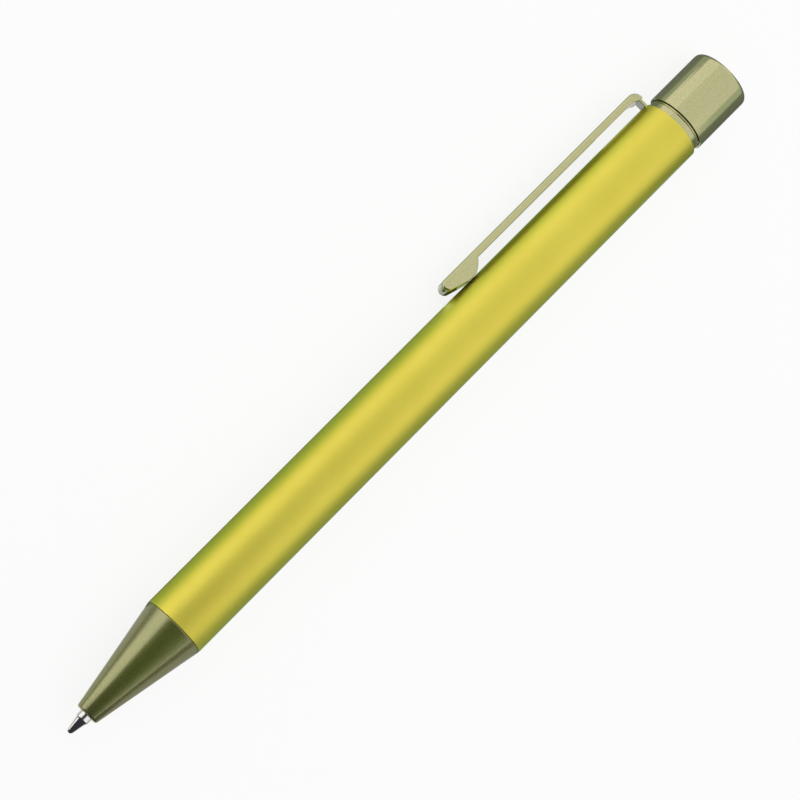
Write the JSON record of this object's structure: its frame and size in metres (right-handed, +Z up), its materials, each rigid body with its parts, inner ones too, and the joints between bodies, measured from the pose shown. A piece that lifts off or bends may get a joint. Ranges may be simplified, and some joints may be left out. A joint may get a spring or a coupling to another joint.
{
  "type": "pushbutton ballpoint pen",
  "caption": "Slim pushbutton ballpoint pen with a plain round barrel, conical nose, side clip, telescoping metal button and full click mechanism with refill.",
  "frame": {"origin": "on the table, under the middle of the lying pen's box", "axes": "+X along the pen towards the writing point, +Z up; the pen lies on its barrel and one edge of its clip, which is on the -Y side"},
  "size_m": [0.1354, 0.0128, 0.01],
  "materials": {
    "lime_anodised": "satin yellow-green anodised aluminium",
    "olive_dark": "glossy dark olive metallic lacquer",
    "olive_light": "glossy light olive metallic lacquer",
    "brass": "turned, bare",
    "steel": "bright drawn steel",
    "nickel_silver": "bright turned nickel silver",
    "carbide": "polished carbide",
    "black_plastic": "moulded acetal",
    "white_plastic": "moulded acetal",
    "ink": "oil-based ink paste"
  },
  "bodies": {
    "barrel": {"barrel_tube": "lime_anodised", "front_bushing": "brass", "neck_sleeve": "olive_light", "cam_guide": "black_plastic"},
    "nose": {"nose_cone": "olive_dark"},
    "button": {"push_button": "olive_light", "plunger": "black_plastic"},
    "refill": {"refill_tube": "steel", "refill_neck": "brass", "refill_tip": "nickel_silver", "ink_column": "ink", "refill_end_cap": "white_plastic", "return_spring": "steel"},
    "rotor": {"cam_rotor": "white_plastic"},
    "ball": {"writing_ball": "carbide"},
    "clip": {"clip": "olive_light"}
  },
  "joints": [
    {"name": "button_press", "type": "slide", "parent": "barrel", "child": "button", "axis": [1, 0, 0], "range_m": [-0.0048, 0.001]},
    {"name": "refill_slide", "type": "slide", "parent": "barrel", "child": "refill", "axis": [1, 0, 0], "range_m": [-0.0048, 0.001], "deforming": ["return_spring"]},
    {"name": "cam_turn", "type": "hinge", "parent": "refill", "child": "rotor", "pos_m": [-0.03781, 0.00142, 0.005], "axis": [1, 0, 0], "continuous": true},
    {"name": "ball_roll", "type": "hinge", "parent": "refill", "child": "ball", "pos_m": [0.06729, 0.00142, 0.005], "axis": [0, 1, 0], "continuous": true},
    {"name": "clip_flex", "type": "hinge", "parent": "barrel", "child": "clip", "pos_m": [-0.05586, -0.00284, 0.00315], "axis": [0, 0.3974, -0.9176], "range_deg": [0, 4], "stiffness_Nm_per_rad": 2.7},
    {"name": "nose_unscrew", "type": "slide", "parent": "barrel", "child": "nose", "axis": [1, 0, 0], "range_m": [0, 0.03]}
  ],
  "couplings": [
    {"joint": "refill_slide", "follows": "button_press", "ratio": 1}
  ]
}
